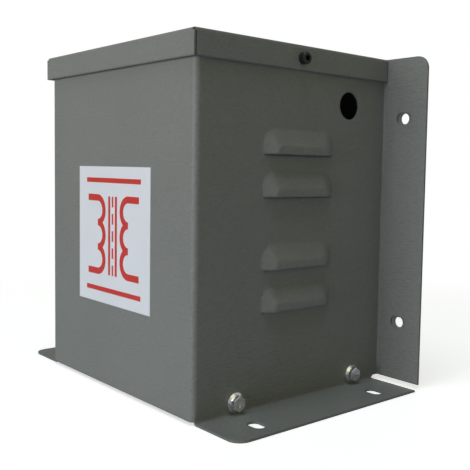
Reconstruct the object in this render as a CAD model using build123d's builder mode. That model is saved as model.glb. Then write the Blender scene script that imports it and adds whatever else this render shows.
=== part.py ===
from build123d import *
from math import radians, tan
import os

os.makedirs("parts", exist_ok=True)

# Case: outside sizes, in millimetres
case_width = 206.0
case_depth = 186.0  # front panel to the front of the wall flanges
case_height = 260.0
sheet = 1.5  # case, back plate and tray flanges
bend_inside = 1.0  # inside radius of a tight fold
front_bend = 4.0  # outside radius of the two front corners
clearance = 0.3  # between neighbouring faces that don't touch
head_chamfer = 1 / 12  # chamfer on heads and nuts, as a share of their height
thread_chamfer = 0.1  # chamfer on a thread's end, as a share of its size

# Feet, turned out from the lower edges of the sides
foot_width = 45.0
foot_set_back = 2.5
foot_rear_gap = 7.0
foot_slot_inset = 18.0  # slot inside the outer edge of the foot
foot_slot_front = 33.0  # front slot behind the front panel
foot_slot_rear = 35.0  # rear slot ahead of the wall flange
slot_length = 14.0
foot_slot_width = 9.0
flange_corner = 10.0

# Wall flanges, turned out from the rear edges of the sides
wall_flange_width = 42.0
wall_flange_lift = 3.5
wall_slot_width = 8.5
wall_slot_inset = 22.0  # slot inside the outer edge of the flange
wall_hole_low = 50.0
wall_hole_drop = 47.5  # upper slot below the top of the case
plate_inset = 2.0  # back plate inside the outline of the flanges

# Louvres, four on each side
louvre_length = 69.0
louvre_height = 18.0
louvre_depth = 5.5
louvre_end_slope = 9.0
louvre_top_slope = 12.0
louvre_corner = 11.0
louvre_crown_corner = 4.0
louvre_crown_round = 4.0
louvre_root_round = 3.0
louvre_margin = 6.0  # flat sheet round a louvre
louvre_front = 58.0  # first end of a louvre behind the front panel
louvre_pitch = 30.2
louvre_row_shares = (69.4 / 260, 151.2 / 260)  # lower cut of each pair, as a share of the case's height

# Cable entry in the right side
cable_hole_diameter = 21.0
cable_hole_ahead = 41.5  # ahead of the wall flange
cable_hole_drop = 39.5  # below the top of the case

# Lid
lid_sheet = 1.2
lid_skirt = 18.0
lid_gap_side = 1.7
lid_gap_front = 2.2
lid_bend_inside = 0.8
lid_screw_back = 91.5
lid_screw_drop = 9.6  # below the top of the case
lid_lip_inset = 4.0
lid_lip = 12.0

# Tray that carries the transformer
tray_top = 20.0
tray_sheet = 2.0
tray_foot = 3.0  # lower edge of the tray's turned-down sides
chassis_bolt_height = 9.5
chassis_bolt_front = 36.0  # behind the front panel
chassis_bolt_rear = 32.0  # ahead of the wall flange

# Laminated core, one E stack closed by an I stack
tongue = 56.0
window = 28.0
window_room = 176.0  # height of the case less that of the window
stack = 80.0
core_shift = 2.0  # core behind the middle of the case
core_lift = 1.0  # core above the tray, carried by its clamps
core_bolt_inset = 14.0

# Bobbin and windings
bobbin_wall = 2.0
bobbin_clear = 0.5
winding_build = 10.8
interleaf = 0.5
foil = 0.3
wrap = 0.6
layer_clear = 0.15
winding_corner = 3.0

# Clamp angles along both yokes
clamp_sheet = 3.0
clamp_foot = 24.0
clamp_ledge = 20.0
tray_bolt_spacing = 90.0
clamp_root = 3.0

# Terminal bracket and rail
bracket_length = 150.0
bracket_height = 24.0
bracket_foot = 14.0
bracket_screw_spacing = 90.0
rail_length = 120.0
rail_width = 35.0
rail_base = 27.0
rail_height = 7.5
rail_sheet = 1.0
rivet_diameter = 4.0
rivet_head = 8.0
rivet_tail = 6.0
rivet_inset = 12.0

# Terminals, seen from their end
terminal_pitch = 10.0
terminal_gap = 0.2
terminal_foot = 42.0
terminal_head = 26.0
terminal_height = 34.0
terminal_shoulder = 20.0
terminal_entry = 12.0  # wire entry above the rail
terminal_screw = 4.0
terminal_screw_slot = 0.8
terminal_screw_slot_depth = 1.0
terminal_well = terminal_screw * 4 / 3
terminal_cage = 6.0
end_stop_height = 16.0
end_stop_width = 8.0

# Fasteners: diameter, width across flats, head height, nut height
m5 = 5.0
m5_flats = 8.0
m5_nut = 4.0
m5_socket_head = 8.5
m5_socket = 4.0
m5_socket_depth = 2.5
m6 = 6.0
m6_flats = 10.0
m6_head = 4.6
m6_nut = 5.0
m6_flange = 14.2
m6_flange_edge = m6_flange / 12
m6_flange_slope = 60  # degrees, from upright
m6_recess_length = 5.0
m6_recess_width = 1.2
m6_recess_depth = 2.3
m8 = 8.0
m8_flats = 13.0
m8_head = 5.3
m8_nut = 6.5
hole_clear = 0.6  # hole over the thread, on the diameter
thread_clear = 0.2  # nut over the thread, on the diameter
thread_end = 0.25  # thread past its nut, as a share of the thread
long_thread_end = 0.5  # the same on bolts put in from outside
washer_sheet = 1.6

# Leads and earth stud
lead_diameter = 3.0
lead_arc_share = 0.45  # of the shorter run, taken up by an arc
lead_slack = 12.0  # straight run before a turn
screen_lead_slack = 9.0  # the same at the screen's lug
lug_ring = 11.0
lug_sheet = 1.0
lug_barrel = 7.0
earth_stud_height = 22.0

# Label on the front panel
label_size = 105.0
label_centre_x = -1.6
label_centre_z = 118.0
label_sheet = 0.3

# Places worked out from the sizes above
half_width = case_width / 2
overall_depth = lid_gap_front + lid_sheet + case_depth + 2 * sheet
front_y = -overall_depth / 2 + lid_gap_front + lid_sheet
rear_y = front_y + case_depth
plate_y = rear_y + sheet
wall_bottom = sheet + bend_inside
wall_top = case_height - lid_sheet
flange_outer = half_width + wall_flange_width
foot_outer = half_width + foot_width
foot_front = front_y + foot_set_back
foot_rear = rear_y - foot_rear_gap
wall_hole_high = case_height - wall_hole_drop
wall_hole_spacing_x = 2 * (flange_outer - wall_slot_inset)
wall_hole_spacing_z = wall_hole_high - wall_hole_low
wall_hole_mid = (wall_hole_low + wall_hole_high) / 2
foot_slot_spacing_x = 2 * (foot_outer - foot_slot_inset)
foot_slot_spacing_y = case_depth - foot_slot_front - foot_slot_rear
foot_slot_mid = front_y + foot_slot_front + foot_slot_spacing_y / 2
louvre_mid = front_y + louvre_front + louvre_length / 2
louvre_cuts = [
    case_height * share + step for share in louvre_row_shares for step in (0, louvre_pitch)
]
cable_y = rear_y - cable_hole_ahead
cable_hole_height = case_height - cable_hole_drop
lid_screw_y = front_y + lid_screw_back
lid_screw_height = case_height - lid_screw_drop
chassis_bolt_y = [front_y + chassis_bolt_front, rear_y - chassis_bolt_rear]
core_y = front_y + case_depth / 2 + core_shift

right_side = Plane.YZ.offset(half_width)
flange_face = Plane.XZ.offset(-rear_y)
plate_face = Plane.XZ.offset(-plate_y)


def hex_bolt(thread, flats, head, length):
    """A hexagon bolt: head below its origin, shank rising above it."""
    with BuildPart() as bolt:
        with BuildSketch():
            RegularPolygon(flats / 2, 6, major_radius=False)
        extrude(amount=-head)
        chamfer(bolt.faces().sort_by(Axis.Z)[0].edges(), length=head * head_chamfer)
        with BuildSketch():
            Circle(thread / 2)
        extrude(amount=length)
        chamfer(bolt.faces().sort_by(Axis.Z)[-1].edges(), length=thread * thread_chamfer)
    return bolt.part


def hex_nut(thread, flats, height):
    """A hexagon nut standing on its origin, bored to its thread."""
    with BuildPart() as nut:
        with BuildSketch():
            RegularPolygon(flats / 2, 6, major_radius=False)
        extrude(amount=height)
        chamfer(nut.faces().sort_by(Axis.Z)[-1].edges(), length=height * head_chamfer)
        Hole((thread + thread_clear) / 2)
    return nut.part


def washer(thread, outer, thickness):
    """A flat washer standing on its origin."""
    with BuildPart() as ring:
        with BuildSketch():
            Circle(outer / 2)
            Circle((thread + hole_clear) / 2, mode=Mode.SUBTRACT)
        extrude(amount=thickness)
    return ring.part


def folded(plane, points, radii, thickness, side, length):
    """A sheet folded along the points in a plane, running out from that plane."""
    with BuildPart() as piece:
        with BuildSketch(plane):
            with BuildLine():
                FilletPolyline(*points, radius=radii)
                offset(amount=thickness, side=side)
            make_face()
        extrude(amount=length)
    return piece.part


def lead(points):
    """A round lead along straight runs joined by tangent arcs."""
    runs = [(Vector(b) - Vector(a)) for a, b in zip(points, points[1:])]
    radii = [
        lead_arc_share * min(a.length, b.length) / tan(radians(a.get_angle(b)) / 2)
        for a, b in zip(runs, runs[1:])
    ]
    with BuildPart() as piece:
        with BuildLine() as route:
            FilletPolyline(*points, radius=radii)
        with BuildSketch(Plane(origin=points[0], z_dir=runs[0])):
            Circle(lead_diameter / 2)
        sweep(path=route.line)
    return piece.part


def facing(point, direction):
    """A placing whose Z runs along the given direction from the point."""
    return Plane(origin=point, z_dir=direction).location


def save(piece, name):
    """Label a finished piece and write it to its own file."""
    piece.label = name
    export_step(piece, f"parts/{name}.step")


# Louvre, drawn out of the sheet in its own frame: X along it, Z outwards
louvre_frame_x = louvre_length / 2 + louvre_margin
louvre_frame_y = louvre_height + louvre_margin

with BuildPart() as louvre_form:
    with BuildSketch():
        RectangleRounded(louvre_length, 2 * louvre_height, louvre_corner)
    with BuildSketch(Plane.XY.offset(louvre_depth)):
        RectangleRounded(
            louvre_length - 2 * louvre_end_slope,
            2 * (louvre_height - louvre_top_slope),
            louvre_crown_corner,
        )
    loft()
    with BuildSketch():
        Rectangle(2 * louvre_frame_x, 2 * louvre_frame_y)
    extrude(amount=-sheet)
    fillet(louvre_form.edges().group_by(Axis.Z)[-1], radius=louvre_crown_round)
    louvre_root = louvre_form.edges().filter_by(
        lambda e: abs(e.center().Z) < clearance
        and abs(e.center().X) < louvre_frame_x - bend_inside
        and abs(e.center().Y) < louvre_frame_y - bend_inside
    )
    fillet(louvre_root, radius=louvre_root_round)
    with BuildSketch():
        with Locations((0, -louvre_frame_y)):
            Rectangle(4 * louvre_frame_x, 2 * louvre_frame_y)
    extrude(amount=2 * louvre_depth, both=True, mode=Mode.SUBTRACT)

with BuildPart() as louvre:
    add(louvre_form.part)
    add(louvre_form.part.moved(Location((0, 0, -sheet))), mode=Mode.SUBTRACT)

# Right foot: folded out of the lower edge of the side
foot_fold = [
    (half_width, 2 * wall_bottom),
    (half_width, sheet),
    (foot_outer, sheet),
]

with BuildPart() as foot:
    with BuildLine(Plane.XZ.offset(-foot_front)):
        FilletPolyline(*foot_fold, radius=bend_inside)
    make_brake_formed(sheet, foot_rear - foot_front, side=Side.LEFT)
    fillet(
        foot.edges()
        .filter_by(Axis.Z)
        .filter_by(lambda e: e.center().X > foot_outer - sheet)
        .sort_by(Axis.Y)[0],
        radius=flange_corner,
    )

# Shell: one sheet folded round the front and sides, with feet and wall flanges
wrap_fold = [
    (-flange_outer, rear_y),
    (-half_width, rear_y),
    (-half_width, front_y),
    (half_width, front_y),
    (half_width, rear_y),
    (flange_outer, rear_y),
]
wrap_radii = [bend_inside, front_bend, front_bend, bend_inside]

with BuildPart() as shell:
    with BuildLine(Plane.XY.offset(wall_bottom)):
        FilletPolyline(*wrap_fold, radius=wrap_radii)
    make_brake_formed(sheet, wall_top - wall_bottom, side=Side.LEFT)
    add(foot.part)
    add(foot.part.mirror(Plane.YZ))

    # The wall flanges stand beside the lid, up to its top
    with BuildSketch(flange_face):
        for side in (1, -1):
            with Locations((side * (half_width + bend_inside), wall_top - bend_inside)):
                Rectangle(
                    wall_flange_width - bend_inside,
                    lid_sheet + bend_inside,
                    align=(Align.MIN if side > 0 else Align.MAX, Align.MIN),
                )
    extrude(amount=-sheet)
    fillet(
        shell.edges()
        .filter_by(Axis.Y)
        .filter_by(lambda e: e.center().Z > wall_top and abs(e.center().X) > flange_outer - sheet),
        radius=flange_corner,
    )

    # Relief between each foot and the wall flange behind it
    relief_front = foot_rear + sheet
    with BuildSketch(Plane.YZ):
        with Locations((relief_front, 0)):
            Rectangle(
                plate_y + sheet - relief_front,
                wall_flange_lift,
                align=(Align.MIN, Align.MIN),
            )
    extrude(amount=2 * flange_outer, both=True, mode=Mode.SUBTRACT)

    # Slots in the feet and in the wall flanges
    with BuildSketch(Plane.XY):
        with Locations((0, foot_slot_mid)):
            with GridLocations(foot_slot_spacing_x, foot_slot_spacing_y, 2, 2):
                SlotOverall(slot_length, foot_slot_width)
    extrude(amount=2 * sheet, both=True, mode=Mode.SUBTRACT)
    with BuildSketch(flange_face):
        with Locations((0, wall_hole_mid)):
            with GridLocations(wall_hole_spacing_x, wall_hole_spacing_z, 2, 2):
                SlotOverall(slot_length, wall_slot_width)
    extrude(amount=2 * sheet, both=True, mode=Mode.SUBTRACT)

    # Holes through both sides for the chassis bolts and lid screws
    with BuildSketch(Plane.YZ):
        with Locations(*[(y, chassis_bolt_height) for y in chassis_bolt_y]):
            Circle((m6 + hole_clear) / 2)
        with Locations((lid_screw_y, lid_screw_height)):
            Circle((m5 + hole_clear) / 2)
    extrude(amount=half_width + sheet, both=True, mode=Mode.SUBTRACT)

    # Cable entry, in the right side only
    with BuildSketch(right_side):
        with Locations((cable_y, cable_hole_height)):
            Circle(cable_hole_diameter / 2)
    extrude(amount=2 * sheet, both=True, mode=Mode.SUBTRACT)

    # Windows in both sides, filled by the louvres
    with BuildSketch(Plane.YZ):
        for cut in louvre_cuts:
            with Locations((louvre_mid, cut)):
                Rectangle(
                    2 * louvre_frame_x,
                    louvre_frame_y,
                    align=(Align.CENTER, Align.MIN),
                )
    extrude(amount=half_width + sheet, both=True, mode=Mode.SUBTRACT)
    for cut in louvre_cuts:
        louvre_place = Plane((half_width, louvre_mid, cut), x_dir=(0, 1, 0), z_dir=(1, 0, 0))
        right_louvre = louvre.part.moved(louvre_place.location)
        add(right_louvre)
        add(right_louvre.mirror(Plane.YZ))
save(shell.part, "case_shell")

# Back plate, spot welded behind the wall flanges
plate_bottom = wall_flange_lift + plate_inset
plate_top = case_height - plate_inset

with BuildPart() as back_plate:
    with BuildSketch(plate_face):
        with Locations((0, plate_bottom)):
            Rectangle(
                2 * (flange_outer - plate_inset),
                plate_top - plate_bottom,
                align=(Align.CENTER, Align.MIN),
            )
        with Locations((0, wall_hole_mid)):
            with GridLocations(wall_hole_spacing_x, wall_hole_spacing_z, 2, 2):
                Circle(wall_slot_width / 2, mode=Mode.SUBTRACT)
    extrude(amount=-sheet)
    fillet(
        back_plate.edges()
        .filter_by(Axis.Y)
        .filter_by(lambda e: e.center().Z > plate_top - sheet),
        radius=flange_corner,
    )
save(back_plate.part, "back_plate")

# Lid: turned down over the front and sides, with a lip inside the back
lid_side = half_width + lid_gap_side + lid_sheet
lid_front = front_y - lid_gap_front - lid_sheet
lid_rear = rear_y - clearance
lid_bottom = case_height - lid_skirt
lid_bend = lid_bend_inside + lid_sheet
lip_half = half_width - lid_lip_inset
lip_rear = plate_y - clearance

lid_side_fold = [
    (-lid_side, lid_bottom),
    (-lid_side, case_height),
    (lid_side, case_height),
    (lid_side, lid_bottom),
]
lid_front_fold = [
    (lid_front, lid_bottom),
    (lid_front, case_height),
    (lid_rear, case_height),
]
lip_fold = [
    (lid_rear - lid_skirt, case_height),
    (lip_rear, case_height),
    (lip_rear, case_height - lid_lip),
]
lid_run = lid_rear - lid_front - lid_bend
lid_half = lid_side - lid_bend
lid_plane = Plane.XZ.offset(-lid_rear)

with BuildPart() as lid:
    # Top and side skirts, stopping short of the front skirt to leave a slit at each corner
    add(folded(lid_plane, lid_side_fold, lid_bend, lid_sheet, Side.RIGHT, lid_run))
    # Front skirt, folded down between the bends of the side skirts
    front_plane = Plane.YZ.offset(-lid_half)
    add(folded(front_plane, lid_front_fold, lid_bend, lid_sheet, Side.RIGHT, 2 * lid_half))
    with BuildSketch(Plane.XZ.offset(-lid_front)):
        with Locations((0, lid_bottom)):
            Rectangle(2 * lid_side, lid_skirt - lid_bend, align=(Align.CENTER, Align.MIN))
    extrude(amount=-lid_sheet)
    # Rear lip, tucked in ahead of the back plate
    lip_plane = Plane.YZ.offset(-lip_half)
    add(folded(lip_plane, lip_fold, lid_bend, lid_sheet, Side.RIGHT, 2 * lip_half))
    with BuildSketch(Plane.YZ):
        with Locations((lid_screw_y, lid_screw_height)):
            Circle((m5 + hole_clear) / 2)
    extrude(amount=2 * lid_side, both=True, mode=Mode.SUBTRACT)
save(lid.part, "lid")

# Tray: the sheet that carries the transformer, bolted between the sides
tray_side = half_width - sheet - clearance
tray_front = front_y + front_bend + clearance
tray_rear = plate_y - clearance
tray_bend = bend_inside + tray_sheet
clamp_face = stack / 2 + clamp_sheet
clamp_bolt_y = clamp_face + clamp_foot / 2
earth_x = tray_side - tray_bend - m6_flats
earth_y = tray_front + 2 * m6_flats

tray_fold = [
    (-tray_side, tray_foot),
    (-tray_side, tray_top),
    (tray_side, tray_top),
    (tray_side, tray_foot),
]
tray_plane = Plane.XZ.offset(-tray_rear)

with BuildPart() as tray:
    add(folded(tray_plane, tray_fold, tray_bend, tray_sheet, Side.RIGHT, tray_rear - tray_front))
    with BuildSketch(Plane.YZ):
        with Locations(*[(y, chassis_bolt_height) for y in chassis_bolt_y]):
            Circle((m6 + hole_clear) / 2)
    extrude(amount=half_width, both=True, mode=Mode.SUBTRACT)
    with BuildSketch(Plane.XY.offset(tray_top)):
        with Locations((0, core_y)):
            with GridLocations(tray_bolt_spacing, 2 * clamp_bolt_y, 2, 2):
                Circle((m6 + hole_clear) / 2)
        with Locations((earth_x, earth_y)):
            Circle((m6 + hole_clear) / 2)
    extrude(amount=-2 * tray_sheet, mode=Mode.SUBTRACT)
save(tray.part, "base_tray")

# Chassis bolts through the sides into nuts clinched in the tray
tray_wall = tray_side - tray_sheet
chassis_bolt_length = half_width - tray_wall + m6_nut + m6 * long_thread_end

with BuildPart() as chassis_bolt:
    with BuildSketch():
        Circle(m6_flange / 2)
    extrude(amount=m6_flange_edge)
    with BuildSketch(Plane.XY.offset(m6_flange_edge)):
        Circle(m6_flange / 2)
    extrude(amount=m6_flange_edge, taper=m6_flange_slope)
    with BuildSketch():
        RegularPolygon(m6_flats / 2, 6, major_radius=False)
    extrude(amount=m6_head + m6_flange_edge)
    chassis_head_top = m6_head + m6_flange_edge
    chamfer(chassis_bolt.faces().sort_by(Axis.Z)[-1].edges(), length=m6_head * thread_chamfer)
    # Cross recess in the head
    with BuildSketch(Plane.XY.offset(chassis_head_top)):
        for turn in (0, 90):
            SlotOverall(m6_recess_length, m6_recess_width, rotation=turn)
    extrude(amount=-m6_recess_depth, mode=Mode.SUBTRACT)
    with BuildSketch():
        Circle(m6 / 2)
    extrude(amount=-chassis_bolt_length)
    chamfer(chassis_bolt.faces().sort_by(Axis.Z)[0].edges(), length=m6 * thread_chamfer)

chassis_bolt_places = [(side, y) for side in (1, -1) for y in chassis_bolt_y]
for number, (side, y) in enumerate(chassis_bolt_places, start=1):
    seat = facing((side * half_width, y, chassis_bolt_height), (side, 0, 0))
    save(chassis_bolt.part.moved(seat), f"chassis_bolt_{number}")

with BuildPart() as tray_nuts:
    for side in (1, -1):
        for y in chassis_bolt_y:
            seat = facing((side * tray_wall, y, chassis_bolt_height), (-side, 0, 0))
            add(hex_nut(m6, m6_flats, m6_nut).moved(seat))
save(tray_nuts.part, "tray_nuts")

# Lid screws: socket head screws into nuts welded inside the sides
lid_screw_head = m5
lid_screw_length = lid_sheet + lid_gap_side + sheet + m5_nut + m5 * long_thread_end

with BuildPart() as lid_screw:
    with BuildSketch():
        Circle(m5_socket_head / 2)
    extrude(amount=lid_screw_head)
    chamfer(lid_screw.faces().sort_by(Axis.Z)[-1].edges(), length=m5 * thread_chamfer)
    with BuildSketch(Plane.XY.offset(lid_screw_head)):
        RegularPolygon(m5_socket / 2, 6, major_radius=False)
    extrude(amount=-m5_socket_depth, mode=Mode.SUBTRACT)
    with BuildSketch():
        Circle(m5 / 2)
    extrude(amount=-lid_screw_length)

for side, place in ((1, "right"), (-1, "left")):
    seat = facing((side * lid_side, lid_screw_y, lid_screw_height), (side, 0, 0))
    save(lid_screw.part.moved(seat), f"lid_screw_{place}")

with BuildPart() as lid_nuts:
    for side in (1, -1):
        seat = facing((side * (half_width - sheet), lid_screw_y, lid_screw_height), (-side, 0, 0))
        add(hex_nut(m5, m5_flats, m5_nut).moved(seat))
save(lid_nuts.part, "lid_nuts")

# Laminated core: the window sits either side of the tongue, the yokes above and below
core_width = 3 * tongue
window_height = case_height - window_room
yoke = tongue / 2
core_bottom = tray_top + core_lift
e_top = core_bottom + yoke + window_height
core_top = e_top + yoke
core_front = core_y - stack / 2
core_rear = core_y + stack / 2
core_bolt_x = core_width / 2 - core_bolt_inset
core_bolt_low = core_bottom + core_bolt_inset
core_bolt_high = core_top - core_bolt_inset
core_face = Plane.XZ.offset(-core_front)

with BuildPart() as e_stack:
    with BuildSketch(core_face):
        with Locations((0, core_bottom)):
            Rectangle(core_width, e_top - core_bottom, align=(Align.CENTER, Align.MIN))
        with Locations((0, core_bottom + yoke)):
            with GridLocations(tongue + window, 0, 2, 1):
                Rectangle(
                    window,
                    window_height,
                    align=(Align.CENTER, Align.MIN),
                    mode=Mode.SUBTRACT,
                )
        with Locations((0, core_bolt_low)):
            with GridLocations(2 * core_bolt_x, 0, 2, 1):
                Circle((m8 + hole_clear) / 2, mode=Mode.SUBTRACT)
    extrude(amount=-stack)
save(e_stack.part, "core_e_stack")

with BuildPart() as i_stack:
    with BuildSketch(core_face):
        with Locations((0, e_top)):
            Rectangle(core_width, yoke, align=(Align.CENTER, Align.MIN))
        with Locations((0, core_bolt_high)):
            with GridLocations(2 * core_bolt_x, 0, 2, 1):
                Circle((m8 + hole_clear) / 2, mode=Mode.SUBTRACT)
    extrude(amount=-stack)
save(i_stack.part, "core_i_stack")

# Bobbin round the tongue
coil_bottom = core_bottom + yoke + bobbin_clear
coil_height = window_height - 2 * bobbin_clear
tube_x = tongue + 2 * (bobbin_clear + bobbin_wall)
tube_y = stack + 2 * (bobbin_clear + bobbin_wall)
cheek_x = tongue + 2 * (window - bobbin_clear)
cheek_y = stack + 2 * (window - bobbin_clear)
winding_bottom = coil_bottom + bobbin_wall + layer_clear
winding_height = coil_height - 2 * (bobbin_wall + layer_clear)
cheek_top = coil_bottom + coil_height
lead_notch = lead_diameter + 2 * bobbin_clear


def ring_size(inside):
    """Width, depth and corner radius of the coil at a distance out from the tube."""
    return tube_x + 2 * inside, tube_y + 2 * inside, winding_corner + inside


def winding_layer(inside, build):
    """One closed layer of the coil, from its inside out by its build."""
    with BuildPart() as layer:
        with BuildSketch(Plane.XY.offset(winding_bottom)):
            with Locations((0, core_y)):
                RectangleRounded(*ring_size(inside + build))
                RectangleRounded(*ring_size(inside), mode=Mode.SUBTRACT)
        extrude(amount=winding_height)
    return layer.part


primary_in = layer_clear
first_leaf_in = primary_in + winding_build + layer_clear
screen_in = first_leaf_in + interleaf + layer_clear
second_leaf_in = screen_in + foil + layer_clear
secondary_in = second_leaf_in + interleaf + layer_clear
wrap_in = secondary_in + winding_build + layer_clear

primary_lead_y = core_y - tube_y / 2 - primary_in - winding_build / 2
secondary_lead_y = core_y - tube_y / 2 - secondary_in - winding_build / 2
primary_lead_x = (-2 * terminal_pitch, -terminal_pitch)
secondary_lead_x = (0, terminal_pitch)
earth_terminal_x = 2 * terminal_pitch
screen_lead_x = 3.5 * terminal_pitch
screen_lead_y = core_y - tube_y / 2 - screen_in - foil / 2

with BuildPart() as bobbin:
    with BuildSketch(Plane.XY.offset(coil_bottom)):
        with Locations((0, core_y)):
            Rectangle(tube_x, tube_y)
    extrude(amount=coil_height)
    fillet(bobbin.edges().filter_by(Axis.Z), radius=winding_corner)
    with BuildSketch(Plane.XY.offset(coil_bottom), Plane.XY.offset(cheek_top - bobbin_wall)):
        with Locations((0, core_y)):
            Rectangle(cheek_x, cheek_y)
    extrude(amount=bobbin_wall)
    with BuildSketch(Plane.XY.offset(coil_bottom)):
        with Locations((0, core_y)):
            Rectangle(tongue + 2 * bobbin_clear, stack + 2 * bobbin_clear)
    extrude(amount=coil_height, mode=Mode.SUBTRACT)
    # Notches in the upper cheek for the leads
    with BuildSketch(Plane.XY.offset(cheek_top)):
        cheek_front = core_y - cheek_y / 2
        for x in primary_lead_x:
            with Locations((x, cheek_front)):
                Rectangle(
                    lead_notch,
                    primary_lead_y + lead_notch / 2 - cheek_front,
                    align=(Align.CENTER, Align.MIN),
                )
        for x in secondary_lead_x:
            with Locations((x, cheek_front)):
                Rectangle(
                    lead_notch,
                    secondary_lead_y + lead_notch / 2 - cheek_front,
                    align=(Align.CENTER, Align.MIN),
                )
        with Locations((screen_lead_x, cheek_front)):
            Rectangle(
                lead_notch,
                screen_lead_y + lead_notch / 2 - cheek_front,
                align=(Align.CENTER, Align.MIN),
            )
    extrude(amount=-bobbin_wall, mode=Mode.SUBTRACT)
save(bobbin.part, "bobbin")

save(winding_layer(primary_in, winding_build), "primary_winding")
save(winding_layer(first_leaf_in, interleaf), "inner_insulation")
save(winding_layer(second_leaf_in, interleaf), "outer_insulation")
save(winding_layer(secondary_in, winding_build), "secondary_winding")
save(winding_layer(wrap_in, wrap), "coil_wrap")

# Screen foil: its turn stays open at the back, so that it carries no current
with BuildPart() as screen:
    add(winding_layer(screen_in, foil))
    with BuildSketch(Plane.XY.offset(winding_bottom)):
        with Locations((0, core_y)):
            Rectangle(lead_notch, tube_y, align=(Align.CENTER, Align.MIN))
    extrude(amount=winding_height, mode=Mode.SUBTRACT)
save(screen.part, "screen_foil")


def clamp_angle(ledge, upright):
    """An angle along X: its upright against the plane Y = 0, its ledge on Z = 0 towards -Y."""
    with BuildPart() as angle:
        with BuildSketch(Plane.YZ.offset(-core_width / 2)) as section:
            Rectangle(ledge, clamp_sheet, align=(Align.MAX, Align.MIN))
            Rectangle(clamp_sheet, upright, align=(Align.MAX, Align.MIN))
            root = section.vertices().sort_by_distance((-core_width / 2, -clamp_sheet, clamp_sheet))
            fillet(root[0], radius=clamp_root)
        extrude(amount=core_width)
        with BuildSketch(Plane.XZ):
            with Locations((0, core_bolt_inset + upright - yoke)):
                with GridLocations(2 * core_bolt_x, 0, 2, 1):
                    Circle((m8 + hole_clear) / 2)
        extrude(amount=2 * clamp_sheet, mode=Mode.SUBTRACT)
    return angle.part


def ledge_holes(piece, spacing, reach, thread):
    """The piece with two holes through its ledge, at a reach in front of its upright."""
    with BuildPart() as drilled:
        add(piece)
        with BuildSketch(Plane.XY):
            with Locations((0, -reach)):
                with GridLocations(spacing, 0, 2, 1):
                    Circle((thread + hole_clear) / 2)
        extrude(amount=2 * clamp_sheet, both=True, mode=Mode.SUBTRACT)
    return drilled.part


# Clamps: angles along the yokes, the lower pair carrying the core on the tray
tray_bolt_reach = clamp_bolt_y - stack / 2
lower_clamp = ledge_holes(
    clamp_angle(clamp_foot, yoke + core_lift), tray_bolt_spacing, tray_bolt_reach, m6
)
bracket_screw_reach = clamp_ledge - bracket_foot / 2
upper_clamp = ledge_holes(
    clamp_angle(clamp_ledge, yoke), bracket_screw_spacing, bracket_screw_reach, m5
)
upper_clamp = upper_clamp.mirror(Plane.XY)

for clamp, height, level in ((lower_clamp, tray_top, "lower"), (upper_clamp, core_top, "upper")):
    save(clamp.moved(Location((0, core_front, height))), f"{level}_clamp_front")
    rear_clamp = clamp.mirror(Plane.XZ).moved(Location((0, core_rear, height)))
    save(rear_clamp, f"{level}_clamp_rear")

# Core bolts through both clamps and the stack
core_bolt_places = [(x, z) for x in (-core_bolt_x, core_bolt_x) for z in (core_bolt_low, core_bolt_high)]
clamp_front = core_front - clamp_sheet
clamp_rear = core_rear + clamp_sheet
core_bolt_length = clamp_rear - clamp_front + 2 * washer_sheet + m8_nut + m8 * thread_end
backward = (0, 1, 0)

with BuildPart() as core_bolts:
    for x, z in core_bolt_places:
        seat = facing((x, clamp_front - washer_sheet, z), backward)
        add(hex_bolt(m8, m8_flats, m8_head, core_bolt_length).moved(seat))
save(core_bolts.part, "core_bolts")

with BuildPart() as core_washers:
    for x, z in core_bolt_places:
        for y in (clamp_front - washer_sheet, clamp_rear):
            add(washer(m8, 2 * m8, washer_sheet).moved(facing((x, y, z), backward)))
save(core_washers.part, "core_washers")

with BuildPart() as core_nuts:
    for x, z in core_bolt_places:
        seat = facing((x, clamp_rear + washer_sheet, z), backward)
        add(hex_nut(m8, m8_flats, m8_nut).moved(seat))
save(core_nuts.part, "core_nuts")

# Bolts that hold the lower clamps down on the tray
tray_bolt_places = [
    (x, core_y + y)
    for x in (-tray_bolt_spacing / 2, tray_bolt_spacing / 2)
    for y in (-clamp_bolt_y, clamp_bolt_y)
]
foot_top = tray_top + clamp_sheet
tray_under = tray_top - tray_sheet
tray_bolt_length = washer_sheet + clamp_sheet + tray_sheet + m6_nut + m6 * thread_end
down = (0, 0, -1)

with BuildPart() as tray_bolts:
    for x, y in tray_bolt_places:
        seat = facing((x, y, foot_top + washer_sheet), down)
        add(hex_bolt(m6, m6_flats, m6_head, tray_bolt_length).moved(seat))
save(tray_bolts.part, "tray_bolts")

with BuildPart() as tray_washers:
    for x, y in tray_bolt_places:
        add(washer(m6, 2 * m6, washer_sheet).moved(facing((x, y, foot_top), (0, 0, 1))))
save(tray_washers.part, "tray_washers")

with BuildPart() as tray_bolt_nuts:
    for x, y in tray_bolt_places:
        add(hex_nut(m6, m6_flats, m6_nut).moved(facing((x, y, tray_under), down)))
save(tray_bolt_nuts.part, "tray_bolt_nuts")

# Terminal bracket: a folded bridge over the core, on the ledges of the upper clamps
bracket_web = stack / 2 + clamp_ledge - bracket_foot
bracket_end = stack / 2 + clamp_ledge
bracket_top = core_top + bracket_height
bracket_bend = bend_inside + sheet
bracket_screw_y = stack / 2 + bracket_screw_reach

bracket_fold = [
    (core_y + bracket_end, core_top + sheet),
    (core_y + bracket_web, core_top + sheet),
    (core_y + bracket_web, bracket_top),
    (core_y - bracket_web, bracket_top),
    (core_y - bracket_web, core_top + sheet),
    (core_y - bracket_end, core_top + sheet),
]
bracket_radii = [bend_inside, bracket_bend, bracket_bend, bend_inside]
bracket_plane = Plane.YZ.offset(-bracket_length / 2)

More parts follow.
